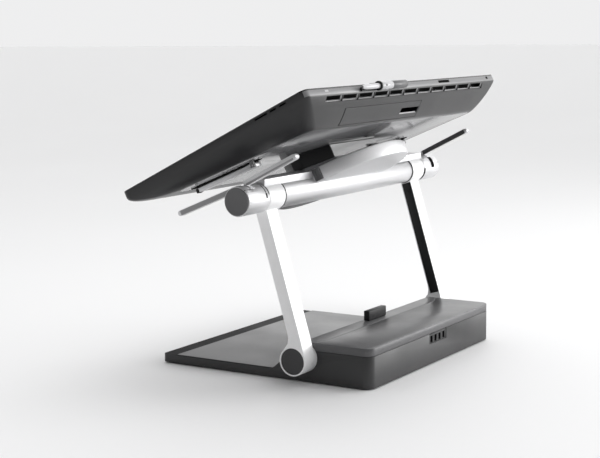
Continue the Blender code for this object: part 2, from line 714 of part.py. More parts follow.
def make_turntable(turn):
    """Plate that turns on the disc and the tapered block that carries the display."""
    outline = octagon(0.1230, 0.0540, 0.0420)
    plate = add_object("turn_plate", slab("turn_plate", outline, DISC_TOP + GAP, PLATE_RISE), ALUMINIUM, turn)
    boolean(plate, upright_disc("plate_bore", 0.0140, 0.0, 0.1, 32), "DIFFERENCE", turn)
    low = PLATE_RISE + GAP
    top = back_height(-0.054) + 0.01
    whole = slab("vesa_block", octagon(0.1200, 0.0500, 0.0400), low, top)
    mount = add_object("vesa_block", whole, BLACK_PLASTIC, turn)
    above = [(-0.2, back_height(-0.2) - GAP), (0.2, back_height(0.2) - GAP), (0.2, 0.2), (-0.2, 0.2)]
    boolean(mount, slab("vesa_top_cut", above, -0.2, 0.2, along_x=True), "DIFFERENCE", turn)
    hollow = block("vesa_hollow", (-0.0900, -0.0350, 0.0), (0.0900, 0.0350, 0.0460))
    boolean(mount, hollow, "DIFFERENCE", turn)
    latch = block("release_latch", (-0.0760, 0.0504, 0.0370), (-0.0480, 0.0560, 0.0450))
    soften(add_object("release_latch", latch, CAP_PLASTIC, turn), 0.0015)


def leg_frames(turn):
    place = (0.0, LEG_PIN_V, back_height(LEG_PIN_V) - 0.0062)
    return [add_frame("leg_axis_" + name, turn, place, -BACK_SLOPE) for name, _ in SIDES]


def make_legs(pins):
    """Fold-out legs that lie along the flat back, each with a rubber tip and a hinge pin."""
    tip_length = 0.0060
    end = -LEG_LENGTH + tip_length + 0.0004
    outline = arc((0.0, 0.0), 0.0045, -90, 90, 8)
    outline += [(-0.0200, 0.0032), (end, 0.0032), (end, -0.0032), (-0.0200, -0.0045)]
    for (name, side), pin in zip(SIDES, pins):
        low, high = span(side, LEG_HALF_GAP, LEG_HALF_GAP + LEG_WIDTH)
        leg = add_object("leg_" + name, slab("leg_" + name, outline, low, high, along_x=True), ALUMINIUM, pin)
        boolean(leg, rod("leg_bore_" + name, 0.0018, low - 0.01, high + 0.01, 16), "DIFFERENCE", pin)
        tip = block("leg_tip_" + name, (low, -LEG_LENGTH, -0.0038), (high, -LEG_LENGTH + tip_length, 0.0034))
        soften(add_object("leg_tip_" + name, tip, FOOT_RUBBER, pin), 0.0010)
        axle = rod("leg_pin_" + name, 0.0015, low - 0.0038, high + 0.0038, 16)
        add_object("leg_pin_" + name, axle, STEEL, pin)


def make_pen(turn):
    """Pen lying in a sleeve on the rear edge strip, with its tip towards +X."""
    rest = add_frame("pen_axis", turn, (0.0, PEN_AXIS_V, PEN_AXIS_N))
    bore = PEN_RADIUS + 0.0004
    strip = GLASS_DEPTH / 2 - PEN_AXIS_V + 0.0003
    pen = add_object("pen_body", rod("pen_body", PEN_RADIUS, 0.0400, 0.1660, 24), PEN_PLASTIC, rest)
    boolean(pen, rod("nib_socket", 0.0014, 0.1600, 0.2000, 16), "DIFFERENCE", rest)
    pocket = block("switch_pocket", (0.1325, -0.0023, 0.0022), (0.1555, 0.0023, 0.0100))
    boolean(pen, pocket, "DIFFERENCE", rest)
    cone = rod("pen_cone", PEN_RADIUS, 0.1663, 0.1800, 24, end_radius=0.0022)
    grip = add_object("pen_cone", cone, BLACK_PLASTIC, rest)
    boolean(grip, rod("cone_bore", 0.0014, 0.1600, 0.2000, 16), "DIFFERENCE", rest)
    add_object("pen_nib", rod("pen_nib", 0.0010, 0.1615, 0.1860, 12), BLACK_PLASTIC, rest)
    switch = block("pen_switch", (0.1330, -0.0018, 0.0026), (0.1550, 0.0018, 0.0050))
    soften(add_object("pen_switch", switch, BLACK_PLASTIC, rest), 0.0006, 1)
    sleeve = rod("pen_clip", SLEEVE_RADIUS, 0.0360, SLEEVE_MOUTH, 32)
    clip = add_object("pen_clip", sleeve, PEN_PLASTIC, rest)
    soften(clip, 0.0020)
    boolean(clip, block("clip_base", (0.0700, strip, -0.0050), (0.1180, 0.0, 0.0010)), "UNION", rest)
    boolean(clip, rod("clip_bore", bore, 0.0385, 0.20, 32), "DIFFERENCE", rest)
    mouth = SLEEVE_MOUTH + GAP
    ring = add_object("clip_ring", rod("clip_ring", 0.0078, mouth, mouth + 0.0030, 32), BLACK_PLASTIC, rest)
    cradle = block("clip_cradle", (mouth + 0.0010, strip, -0.0045), (0.1760, -0.0050, 0.0010))
    boolean(ring, cradle, "UNION", rest)
    boolean(ring, rod("ring_bore", bore, 0.05, 0.20, 32), "DIFFERENCE", rest)


def make_object():
    make_base_tray()
    make_top_cover()
    make_mat()
    make_port_panel()
    make_rest_tab()
    make_base_inside()
    make_feet()
    pivot = add_frame("arm_axis", None, (0.0, PIVOT_Y, PIVOT_Z), ARM_LEAN)
    bar = (0.0, BAR_OFFSET, BAR_RISE)
    level = add_frame("level_bar", pivot, bar, -ARM_LEAN)
    head = add_frame("tilt_axis", pivot, bar, DISPLAY_TILT - ARM_LEAN)
    make_arms(pivot)
    make_crossbar(head, level)
    make_barrels(head, level)
    make_levers(level)
    make_mount(head)
    turn = add_frame("turn_axis", head)
    wall = wall_frame(turn)
    pins = leg_frames(turn)
    back = add_frame("flat_back", turn, (0.0, 0.0, back_height(0.0)), -BACK_SLOPE)
    make_back_shell(turn, wall, back)
    make_back_panel(back, pins)
    make_service_door(wall)
    make_screen(turn)
    make_turntable(turn)
    make_legs(pins)
    make_pen(turn)


make_object()
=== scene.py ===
"""Looks of the pen drawing tablet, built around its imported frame. Metres, +Z up, the user sits on -Y."""
import json
import math

import bmesh
import bpy
from mathutils import Matrix, Vector


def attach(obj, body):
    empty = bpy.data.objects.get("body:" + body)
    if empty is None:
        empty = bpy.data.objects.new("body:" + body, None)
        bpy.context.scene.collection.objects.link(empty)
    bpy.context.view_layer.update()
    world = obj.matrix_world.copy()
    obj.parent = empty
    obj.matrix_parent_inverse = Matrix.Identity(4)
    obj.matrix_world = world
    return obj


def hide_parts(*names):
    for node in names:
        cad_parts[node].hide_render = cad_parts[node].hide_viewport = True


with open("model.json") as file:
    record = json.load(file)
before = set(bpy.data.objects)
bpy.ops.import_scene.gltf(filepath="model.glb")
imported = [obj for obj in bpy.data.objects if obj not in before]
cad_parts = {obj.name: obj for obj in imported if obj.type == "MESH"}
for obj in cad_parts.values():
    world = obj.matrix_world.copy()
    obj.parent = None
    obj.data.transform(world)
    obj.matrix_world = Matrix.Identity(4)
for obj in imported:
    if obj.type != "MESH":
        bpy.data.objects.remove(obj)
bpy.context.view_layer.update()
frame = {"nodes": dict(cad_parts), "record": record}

BODY_OF = {node: body for body, nodes in frame["record"]["behaviour"]["bodies"].items() for node in nodes}
SIDES = (("left", 1.0), ("right", -1.0))
GAP = 0.0003

# frames of the stand, as the CAD places them: the arms' pivot, the tilt axis level and tilted
PIVOT = Matrix.Translation((0.0, 0.0841, 0.0420)) @ Matrix.Rotation(math.radians(16.5), 4, "X")
LEVEL = Matrix.Translation((0.0, 0.026947, 0.303955))
TILT = LEVEL @ Matrix.Rotation(math.radians(26.2), 4, "X")

# the base: its half width, the height under which its upward faces are the dark rim, its data openings
BASE_HALF = 0.2235
RIM_TOP = 0.020
PORT_COUNT = 4
FIRST_PORT = -0.0354
PORT_PITCH = 0.0152

# the screws in the inner covers of the arms
COVER_FACE = 0.2316
COVER_MIDDLE = 0.0152
COVER_SCREWS = (0.0350, 0.1300, 0.2280)

# crossbar, friction housings (barrels), levers and disc
TUBE_RADIUS = 0.0226
BARREL_RADIUS = 0.0239
SLOT_FLOOR = 0.0218
LEVER_INNER, LEVER_OUTER = 0.2970, 0.3080
DISC_RADIUS = 0.1250
DISC_TOP = 0.0250

# the display, measured from the tilt axis
GLASS_HALF = 0.3385
GLASS_DEPTH = 0.3934
GLASS_FACE = 0.1011
GLASS_THICKNESS = 0.0018
ACTIVE_HALF, ACTIVE_DEPTH = 0.2990, 0.1680
STRIP_BOTTOM = 0.0896
STRIP_MIDDLE = (STRIP_BOTTOM + GLASS_FACE) / 2
STRIP_FACE = GLASS_DEPTH / 2
BACK_REAR = 0.1516
BACK_FRONT = -0.1330
BACK_HALF = 0.2960
BACK_DROP = 0.0499
BACK_SLOPE = math.radians(3.5)

# openings of the shell, on its sloping rear wall or along the glass
WALL_REACH = 0.012
VENT_COUNT = 11
VENT_PITCH = 0.0510
VENT_HALF = VENT_PITCH / 2 - 0.0009
VENT_TOP, VENT_BOTTOM = 0.0030, 0.0130
DOOR_LOW, DOOR_HIGH = (-0.0472, 0.0257), (0.2104, 0.0562)
DOOR_GAP_LOW, DOOR_GAP_HIGH = (-0.0480, 0.0250), (0.2126, 0.0570)
SIDE_PORTS = ((0.0958, 0.1208), (0.1258, 0.1388), (0.1448, 0.1588))

PEN_RADIUS = 0.0044
FLOOR_HALF = 40.0

# how many sides round shapes have
INLAY_STEPS = 30
ROUND_STEPS = 80
DISC_STEPS = 144


def back_height(v):
    """Height of the flat back above the tilt axis, at a place v along the glass."""
    return BACK_DROP + (BACK_REAR - v) * math.tan(BACK_SLOPE)


BACK = TILT @ Matrix.Translation((0.0, 0.0, back_height(0.0))) @ Matrix.Rotation(-BACK_SLOPE, 4, "X")
WALL_SLOPE = math.atan2(back_height(BACK_REAR) - STRIP_BOTTOM, BACK_REAR - STRIP_FACE)
WALL = TILT @ Matrix.Translation((0.0, STRIP_FACE, STRIP_BOTTOM)) @ Matrix.Rotation(WALL_SLOPE, 4, "X")
PEN = TILT @ Matrix.Translation((0.0, 0.2052, 0.0935))


# finishes

def finish(name, color, roughness, metallic=0.0, grain=1500.0, relief=0.03, cloud=11.0, drift=0.10,
           spread=0.08, coat=0.0, wear=0.0, shine=0.5):
    """A surface with fine grain in its relief, cloudy changes of tone and gloss, and lighter worn edges."""
    made = bpy.data.materials.new(name)
    made.use_nodes = True
    nodes = made.node_tree.nodes
    link = made.node_tree.links.new
    shader = nodes["Principled BSDF"]
    shader.inputs["Metallic"].default_value = metallic
    shader.inputs["Specular IOR Level"].default_value = shine
    shader.inputs["Coat Weight"].default_value = coat
    shader.inputs["Coat Roughness"].default_value = 0.12
    place = nodes.new("ShaderNodeTexCoord")

    def noise(scale, detail):
        texture = nodes.new("ShaderNodeTexNoise")
        texture.inputs["Scale"].default_value = scale
        texture.inputs["Detail"].default_value = detail
        link(place.outputs["Object"], texture.inputs["Vector"])
        return texture.outputs["Fac"]

    def ranged(source, low, high):
        """The middle of a noise's values spread over a range."""
        span = nodes.new("ShaderNodeMapRange")
        span.inputs["From Min"].default_value = 0.25
        span.inputs["From Max"].default_value = 0.75
        span.inputs["To Min"].default_value = low
        span.inputs["To Max"].default_value = high
        link(source, span.inputs["Value"])
        return span.outputs["Result"]

    clouds = noise(cloud, 3.0)
    fine = noise(grain, 2.0)
    specks = noise(grain * 0.30, 4.0)
    tone = nodes.new("ShaderNodeMix")
    tone.data_type = "RGBA"
    tone.inputs["A"].default_value = (*[c * (1.0 - drift) for c in color], 1.0)
    tone.inputs["B"].default_value = (*[min(c * (1.0 + drift), 1.0) for c in color], 1.0)
    blend = nodes.new("ShaderNodeMath")
    blend.operation = "ADD"
    link(ranged(clouds, 0.0, 0.65), blend.inputs[0])
    link(ranged(specks, 0.0, 0.35), blend.inputs[1])
    link(blend.outputs["Value"], tone.inputs["Factor"])
    shade = tone.outputs["Result"]
    if wear:
        geometry = nodes.new("ShaderNodeNewGeometry")
        edge = nodes.new("ShaderNodeMapRange")
        edge.inputs["From Min"].default_value = 0.52
        edge.inputs["From Max"].default_value = 0.62
        edge.inputs["To Max"].default_value = wear
        link(geometry.outputs["Pointiness"], edge.inputs["Value"])
        rub = nodes.new("ShaderNodeMix")
        rub.data_type = "RGBA"
        rub.inputs["B"].default_value = (*[min(c * 2.2 + 0.03, 1.0) for c in color], 1.0)
        link(edge.outputs["Result"], rub.inputs["Factor"])
        link(shade, rub.inputs["A"])
        shade = rub.outputs["Result"]
    link(shade, shader.inputs["Base Color"])
    link(ranged(clouds, roughness - spread, roughness + spread), shader.inputs["Roughness"])
    bump = nodes.new("ShaderNodeBump")
    bump.inputs["Strength"].default_value = relief
    bump.inputs["Distance"].default_value = 0.0006
    link(fine, bump.inputs["Height"])
    link(bump.outputs["Normal"], shader.inputs["Normal"])
    return made


FINISH = {
    "base_plastic": finish("base_plastic", (0.011, 0.011, 0.012), 0.52, relief=0.14, wear=0.20, shine=0.75),
    "cover_plastic": finish("cover_plastic", (0.078, 0.078, 0.081), 0.38, relief=0.14, wear=0.25),
    "mat_rubber": finish("mat_rubber", (0.125, 0.125, 0.128), 0.38, grain=900.0, relief=0.20, drift=0.14),
    "foot_rubber": finish("foot_rubber", (0.020, 0.020, 0.020), 0.80, grain=700.0, relief=0.30),
    "aluminium": finish("aluminium", (0.68, 0.68, 0.69), 0.42, 0.60, grain=2600.0, relief=0.08,
                        cloud=16.0, drift=0.04, spread=0.05),
    "cap_plastic": finish("cap_plastic", (0.110, 0.110, 0.113), 0.50, relief=0.12, wear=0.2),
    "black_plastic": finish("black_plastic", (0.008, 0.008, 0.009), 0.45, relief=0.12, wear=0.2, shine=0.3),
    "steel": finish("steel", (0.48, 0.48, 0.49), 0.34, 1.0, grain=1200.0, relief=0.15, spread=0.10),
    "shell_plastic": finish("shell_plastic", (0.015, 0.015, 0.016), 0.34, relief=0.10, cloud=7.0, wear=0.25,
                            shine=0.42),
    "back_plastic": finish("back_plastic", (0.13, 0.13, 0.134), 0.16, grain=1800.0, relief=0.015,
                           cloud=6.0, drift=0.04, spread=0.03, coat=0.1),
    "screen_glass": finish("screen_glass", (0.006, 0.006, 0.007), 0.06, grain=2600.0, relief=0.02,
                           spread=0.03, coat=0.6),
    "board": finish("board", (0.025, 0.110, 0.045), 0.50, grain=260.0, relief=0.40, drift=0.25),
    "pen_plastic": finish("pen_plastic", (0.50, 0.50, 0.51), 0.32, relief=0.08, drift=0.05),
}
# a paler, less metallic copy of the aluminium for the arms; the extra brightness is painted light on their
# outer faces
ARM_METAL_PAINTED_LIGHT = finish("arm_metal_painted_light", (0.95, 0.95, 0.955), 0.40, 0.15, grain=2600.0, relief=0.08, cloud=16.0,
                   drift=0.04, spread=0.05)
EDGE_PLASTIC = finish("edge_plastic", (0.170, 0.170, 0.174), 0.36, relief=0.10, cloud=7.0, shine=0.6)
PIVOT_PLASTIC = finish("pivot_plastic", (0.040, 0.040, 0.042), 0.50, relief=0.12)
# grey and dark strips on the levers' sides: painted shade
PAINTED_SHADE_INNER = finish("grip_plastic", (0.055, 0.055, 0.057), 0.50, relief=0.12)
PAINTED_SHADE_OUTER = finish("band_plastic", (0.300, 0.300, 0.305), 0.50, relief=0.20, shine=0.4)
TAIL_PLASTIC = finish("tail_plastic", (0.085, 0.085, 0.088), 0.40, relief=0.08)
STRIP_RUBBER = finish("strip_rubber", (0.020, 0.020, 0.021), 0.75, relief=0.16, shine=0.18)
PEN_SILVER = finish("pen_silver", (0.58, 0.58, 0.59), 0.34, relief=0.06, drift=0.04)
# near-lightless black, used as painted shade in gaps, slots, holes and openings
PAINTED_SHADE_BLACK = finish("painted_shade_black", (0.003, 0.003, 0.003), 0.85, relief=0.10, shine=0.05)
# pale finish for painted highlights on the edges of the shell's openings
PAINTED_LIGHT_PLASTIC = finish("painted_light_plastic", (0.460, 0.460, 0.465), 0.40, relief=0.05)
PLATE_METAL = finish("plate_metal", (0.24, 0.24, 0.25), 0.45, 0.30, grain=2600.0, relief=0.08,
                     cloud=16.0, drift=0.04)
SCREEN_AREA = finish("screen_area", (0.012, 0.012, 0.014), 0.30, grain=2200.0, relief=0.06,
                     spread=0.03, shine=0.35)


# mesh helpers

def mesh_from(name, build, place=None):
    """A mesh whose bmesh is filled by build(bm), then put in place by a matrix."""
    mesh = bpy.data.meshes.new(name)
    bm = bmesh.new()
    build(bm)
    bmesh.ops.recalc_face_normals(bm, faces=bm.faces)
    if place is not None:
        bm.transform(place)
    bm.to_mesh(mesh)
    bm.free()
    return mesh


def block(name, low, high, place=None):
    size = [b - a for a, b in zip(low, high)]
    middle = [(a + b) / 2 for a, b in zip(low, high)]

    def build(bm):
        place_cube = Matrix.Translation(middle) @ Matrix.Diagonal((*size, 1.0))
        bmesh.ops.create_cube(bm, size=1.0, matrix=place_cube)

    return mesh_from(name, build, place)


def hull(name, points, place=None):
    """The convex solid around a few corner points."""
    def build(bm):
        for point in points:
            bm.verts.new(point)
        bmesh.ops.convex_hull(bm, input=bm.verts)

    return mesh_from(name, build, place)


def arc(centre, radius, start, end, steps):
    """Points of an arc, angles in degrees from the first axis."""
    turns = [math.radians(start + (end - start) * i / steps) for i in range(steps + 1)]
    return [(centre[0] + radius * math.cos(a), centre[1] + radius * math.sin(a)) for a in turns]


def rounded_rectangle(left, right, low, high, radius, steps=6):
    corners = [((right - radius, high - radius), 0), ((left + radius, high - radius), 90),
               ((left + radius, low + radius), 180), ((right - radius, low + radius), 270)]
    points = []
    for centre, start in corners:
        points += arc(centre, radius, start, start + 90, steps)
    return points


def extruded(name, outline, low, high, place=None, along_x=False):
    """A flat outline given a thickness, upright in Z or along X."""
    def build(bm):
        def ring(level):
            if along_x:
                return [bm.verts.new((level, u, v)) for u, v in outline]
            return [bm.verts.new((u, v, level)) for u, v in outline]

        bottom, top = ring(low), ring(high)
        bm.faces.new(list(reversed(bottom)))
        bm.faces.new(top)
        for i in range(len(outline)):
            j = (i + 1) % len(outline)
            bm.faces.new((bottom[i], bottom[j], top[j], top[i]))

    return mesh_from(name, build, place)


def lathed(name, profile, place=None, along_x=True, steps=64, closed=False):
    """A profile of (radius, level) turned about the X or Z axis; a radius of 0 closes an end."""
    def build(bm):
        rings = []
        for radius, level in profile:
            if radius == 0.0:
                rings.append([bm.verts.new((level, 0.0, 0.0) if along_x else (0.0, 0.0, level))] * steps)
                continue
            ring = []
            for i in range(steps):
                angle = 2 * math.pi * i / steps
                u, v = radius * math.cos(angle), radius * math.sin(angle)
                ring.append(bm.verts.new((level, u, v) if along_x else (u, v, level)))
            rings.append(ring)
        if closed:
            rings.append(rings[0])
        for first, second in zip(rings, rings[1:]):
            for i in range(steps):
                j = (i + 1) % steps
                corners = []
                for vert in (first[i], first[j], second[j], second[i]):
                    if vert not in corners:
                        corners.append(vert)
                bm.faces.new(corners)

    return mesh_from(name, build, place)


def rod(name, radius, start, end, place):
    """A round bar along X."""
    return lathed(name, [(0.0, start), (radius, start), (radius, end), (0.0, end)], place)


def cut(mesh, cutter, operation="DIFFERENCE"):
    """The mesh with another cut from it or joined to it."""
    body = bpy.data.objects.new("cut_body", mesh)
    tool = bpy.data.objects.new("cut_tool", cutter)
    for item in (body, tool):
        bpy.context.scene.collection.objects.link(item)
    change = body.modifiers.new("cut", "BOOLEAN")
    change.operation = operation
    change.solver = "EXACT"
    change.object = tool
    graph = bpy.context.evaluated_depsgraph_get()
    made = bpy.data.meshes.new_from_object(body.evaluated_get(graph))
    made.name = mesh.name
    bpy.data.objects.remove(body)
    bpy.data.objects.remove(tool)
    return made


def cleaned(mesh):
    """The mesh with its split points joined, its flat faces whole and no finish."""
    made = mesh.copy()
    bm = bmesh.new()
    bm.from_mesh(made)
    bmesh.ops.remove_doubles(bm, verts=bm.verts, dist=3e-6)
    bmesh.ops.dissolve_degenerate(bm, edges=bm.edges, dist=3e-6)
    bmesh.ops.dissolve_limit(bm, angle_limit=math.radians(0.6), verts=bm.verts, edges=bm.edges)
    bm.to_mesh(made)
    bm.free()
    made.materials.clear()
    return made


def piece(name, mesh, slot, body, stands_for=(), width=0.0, segments=2, angle=35.0, surface=None):
    """A shown piece: its finish, its rounded edges, the CAD body it rides on and the nodes it replaces."""
    item = bpy.data.objects.new(name, mesh)
    bpy.context.scene.collection.objects.link(item)
    mesh.materials.clear()
    mesh.materials.append(surface or FINISH[slot])
    mesh.shade_smooth()
    if width:
        bevel = item.modifiers.new("edges", "BEVEL")
        bevel.width = width
        bevel.segments = segments
        bevel.limit_method = "ANGLE"
        bevel.angle_limit = math.radians(angle)
        bevel.use_clamp_overlap = True
        bevel.harden_normals = True
    else:
        mesh.set_sharp_from_angle(angle=math.radians(angle))
    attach(item, body)
    if stands_for:
        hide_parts(*stands_for)
    return item


def rounded(node, slot, width, segments=2, angle=35.0, cuts=(), surface=None):
    """A CAD node again, with rounded edges and finer cuts."""
    mesh = cleaned(frame["nodes"][node].data)
    for cutter in cuts:
        mesh = cut(mesh, cutter)
    return piece(node + "_skin", mesh, slot, BODY_OF[node], (node,), width, segments, angle, surface)


# pieces whose CAD shape stays

def finish_cad_nodes():
    plain = {
        "steel": ("ballast_plate", "bearing_block_left", "bearing_block_right", "pivot_shaft",
                  "cross_shaft", "tilt_spring", "lcd_panel", "leg_pin_left", "leg_pin_right"),
        "board": ("hub_board", "main_board"),
    }
    for slot, nodes in plain.items():
        for node in nodes:
            for place in frame["nodes"][node].material_slots:
                place.material = FINISH[slot]


# base

def make_base():
    """The base, its side seams, the dark rim around the mat and black blocks of painted shade in the data
    openings.
    """
    joints = [block("joint", (x - 0.0006, 0.0694, 0.0010), (x + 0.0006, 0.0706, 0.0200))
              for x in (-BASE_HALF, BASE_HALF)]
    tray = rounded("base_tray", "base_plastic", 0.0007, cuts=joints)
    tray.data.materials.append(STRIP_RUBBER)
    for face in tray.data.polygons:
        if face.normal.z > 0.9 and face.center.z < RIM_TOP:
            face.material_index = 1
    rounded("top_cover", "cover_plastic", 0.0008)
    rounded("front_strip", "cover_plastic", 0.0006)
    rounded("mat", "mat_rubber", 0.0004)
    rounded("port_panel", "black_plastic", 0.00025)
    rounded("rest_tab", "black_plastic", 0.0003)
    for end in ("front_left", "front_right", "rear_left", "rear_right"):
        rounded("foot_" + end, "foot_rubber", 0.0004)
    # black blocks in the data openings: painted shade of the sockets
    socket_shades = None
    for i in range(PORT_COUNT):
        x = FIRST_PORT + PORT_PITCH * i
        socket_shade = block("port_painted_shade", (x - 0.0012, 0.1982, 0.0394), (x + 0.0008, 0.2044, 0.0482))
        socket_shades = socket_shade if socket_shades is None else cut(socket_shades, socket_shade, "UNION")
    piece("port_painted_shade", socket_shades, "black_plastic", "base", width=0.0002, surface=PAINTED_SHADE_BLACK)


# arms

def make_arms():
    """The two arms, the screws of their inner covers and the domed caps on their pivots."""
    for name, side in SIDES:
        # the arms in the paler aluminium, brightened as painted light
        rounded("arm_" + name, "aluminium", 0.0007, 3, surface=ARM_METAL_PAINTED_LIGHT)
        rounded("arm_cover_" + name, "black_plastic", 0.0003)
        for i, height in enumerate(COVER_SCREWS):
            seat = Matrix.Translation((COVER_FACE * side, COVER_MIDDLE, height))
            inward = Matrix.Diagonal((-side, 1, 1, 1))
            head = lathed("screw", [(0.0, -0.0002), (0.0026, -0.0002), (0.0026, 0.0007), (0.0022, 0.0010),
                                    (0.0014, 0.0010), (0.0012, 0.0003), (0.0, 0.0003)],
                          PIVOT @ seat @ inward, steps=28)
            piece("cover_screw_%s_%d" % (name, i), head, "black_plastic", "arms")
        out = (0.2614 * side, 0.2591 * side)
        cap = lathed("pivot_cap", [(0.0, out[0] - 0.0004 * side), (0.0190, out[0] - 0.0003 * side),
                                   (0.0206, out[0]), (0.0213, out[0] - 0.0002 * side),
                                   (0.0216, out[0] - 0.0006 * side), (0.0216, out[1]), (0.0, out[1])],
                     PIVOT, steps=ROUND_STEPS)
        piece("pivot_cap_%s_face" % name, cap, "cap_plastic", "arms", ("pivot_cap_" + name,),
              angle=30.0, surface=PIVOT_PLASTIC)


# crossbar and its ends

def make_barrel_shades(name, side):
    """Inlays in a friction housing: its parting line, black arcs of painted shade along its steps and gaps
    and in its open lever slot, and what closes its lever slot.

    Each lies between two places along X, two angles from +Y and two radii.
    """
    def shade(title, low, high, start, end, inner, outer, surface=PAINTED_SHADE_BLACK):
        outline = arc((0.0, 0.0), outer, start, end, INLAY_STEPS)
        outline += arc((0.0, 0.0), inner, end, start, INLAY_STEPS)
        span = sorted((low * side, high * side))
        mesh = extruded(title, outline, span[0], span[1], LEVEL, along_x=True)
        piece("%s_%s" % (title, name), mesh, "black_plastic", "head", surface=surface)

    floor = 0.0222
    top = BARREL_RADIUS + 0.00014
    if side > 0:
        shade("slot_cover", 0.2966, 0.3084, 34, 58, SLOT_FLOOR, BARREL_RADIUS, FINISH["aluminium"])
        # black arcs of painted shade along the housing's shallow steps
        shade("painted_shade_thin", 0.2762, 0.2778, 24, 66, floor, top)
        shade("painted_shade_thick", 0.2752, 0.2788, 5, 24, floor, top)
        shade("painted_shade_end", 0.2688, 0.2702, 18, 62, floor, top)
        shade("parting", 0.3022, 0.3273, 51, 53, floor, top)
    else:
        # black arcs of painted shade in the open lever slot and in the gap next to the tube
        shade("slot_painted_shade", 0.2972, 0.3070, 2, 62, SLOT_FLOOR, top + 0.0002)
        shade("gap_painted_shade", 0.2660, 0.2712, -58, 4, floor, top)
        shade("parting", 0.3100, 0.3273, 20, 21.6, floor, top)


def make_crossbar():
    """The tube with its rails, and on each end a friction housing with a black ring of painted shade where
    the tube meets it, and a domed cap.
    """
    rounded("crossbar", "aluminium", 0.0009)
    for name, side in SIDES:
        rounded("top_rail_" + name, "aluminium", 0.0006)
        rounded("barrel_" + name, "aluminium", 0.0004)
        # a black ring where the tube meets the housing: painted shade of the joint
        profile = [(0.0227, 0.2184 * side), (0.0235, 0.2186 * side), (0.0235, 0.2217 * side),
                   (0.0227, 0.2218 * side)]
        make_barrel_shades(name, side)
        collar_shade = lathed("collar_shade", profile, LEVEL, steps=ROUND_STEPS, closed=True)
        piece("collar_painted_shade_" + name, collar_shade, "black_plastic", "head")
        face = 0.3292 * side
        back = 0.3273 * side
        cap = lathed("end_cap", [(0.0, face - 0.0004 * side), (0.0200, face - 0.0003 * side),
                                 (0.0212, face), (0.0219, face - 0.0002 * side),
                                 (0.0222, face - 0.0006 * side), (0.0222, back), (0.0, back)],
                     LEVEL, steps=ROUND_STEPS)
        piece("end_cap_%s_face" % name, cap, "cap_plastic", "head", ("end_cap_" + name,), angle=30.0)


def make_lever(name, side, slope, offset, reach, way, band):
    """A lever with strips of painted shade let into both sides: grey on its outer side, dark on its inner
    side.

    It leaves the crossbar towards +Y or -Y (way), at a slope in degrees, its underside offset from the
    axis, and reaches this far; the last argument is how high the grey strip of painted shade on its outer
    side comes.
    """
    place = LEVEL @ Matrix.Rotation(math.radians(slope), 4, "X")
    start, end = sorted((0.0160 * way, (reach - 0.0060) * way))
    inner, outer = LEVER_INNER * side, LEVER_OUTER * side
    rounded(name, "aluminium", 0.0005)
    # strips of painted shade: grey on the outer side, dark on the inner side
    for title, face, floor, height, surface in (("band", outer, 0.0005, band, PAINTED_SHADE_OUTER),
                                                ("grip", inner, 0.0005, 0.0084, PAINTED_SHADE_INNER)):
        low, high = sorted((face - 0.0002, face + 0.0002))
        strip = block(title, (low, start, offset + floor), (high, end, offset + height), place)
        piece("%s_%s" % (name, title), strip, "cap_plastic", BODY_OF[name], width=0.00015,
              surface=surface)


def make_levers():
    for name, side in SIDES:
        make_lever("lever_rear_" + name, side, 26.6, 0.0185, 0.1200, 1.0, 0.0038)
        make_lever("lever_front_" + name, side, 22.1, 0.0172, 0.1310, -1.0, 0.0080)


# mount

def make_mount():
    """The large disc on the tube with its rotation lock, and the adapter between it and the display."""
    edge = 0.0030
    spigot = 0.0136
    base = 0.0009
    hollow = (-0.0650, -0.0950, -0.015), (0.0650, -0.0400, 0.0200)
    disc = [(0.0, base), (DISC_RADIUS - edge, base), (DISC_RADIUS - 0.0009, 0.0014), (DISC_RADIUS, edge),
            (DISC_RADIUS, DISC_TOP - edge), (DISC_RADIUS - 0.0009, DISC_TOP - 0.0009),
            (DISC_RADIUS - edge, DISC_TOP), (spigot, DISC_TOP), (spigot, 0.0315), (0.0, 0.0315)]
    mesh = lathed("mount_disc", disc, TILT, along_x=False, steps=DISC_STEPS)
    mesh = cut(mesh, rod("tube_cut", TUBE_RADIUS + GAP, -0.2, 0.2, TILT))
    mesh = cut(mesh, block("hollow", *hollow, TILT))
    mesh = cut(mesh, block("pocket", (0.1030, 0.0236, 0.0026), (0.1300, 0.0384, 0.0234), TILT))
    piece("mount_disc_skin", mesh, "aluminium", "head", ("mount_disc",), width=0.0005, angle=40.0)
    lid = base - 0.0001
    tray = lathed("disc_tray", [(0.0, 0.0), (0.1200, 0.0), (0.1206, lid), (0.0, lid)], TILT,
                  along_x=False, steps=DISC_STEPS)
    tray = cut(tray, rod("tray_tube_cut", TUBE_RADIUS + GAP, -0.2, 0.2, TILT))
    tray = cut(tray, block("tray_rear", (-0.2, 0.0, -0.015), (0.2, 0.2, 0.0200), TILT))
    tray = cut(tray, block("tray_hollow", *hollow, TILT))
    piece("disc_tray", tray, "black_plastic", "head", width=0.0002, angle=40.0)
    lock = block("lock", (0.1050, 0.0240, 0.0030), (0.1235, 0.0380, 0.0230), TILT)
    lock = cut(lock, block("lock_line", (0.1225, 0.0300, 0.0), (0.1300, 0.0306, 0.03), TILT))
    piece("rotation_lock_skin", lock, "cap_plastic", "turn_lock", ("rotation_lock",), width=0.0030,
          segments=4)
    rounded("turn_plate", "aluminium", 0.0007, surface=PLATE_METAL)
    rounded("vesa_block", "black_plastic", 0.0009)
    cover = block("cover", (-0.0775, 0.0502, 0.0330), (0.0785, 0.0508, 0.0552), TILT)
    cover = cut(cover, block("cover_cut", (-0.0775, 0.0490, 0.0354), (-0.0385, 0.0530, 0.0466), TILT))
    piece("adapter_cover", cover, "back_plastic", "display", width=0.0002)
    rounded("release_latch", "cap_plastic", 0.0003)


# display

def swell(share, power):
    """How far a rounded wall has dropped when it has come in by this share."""
    return (1 - (1 - share) ** power) ** (1 / power)


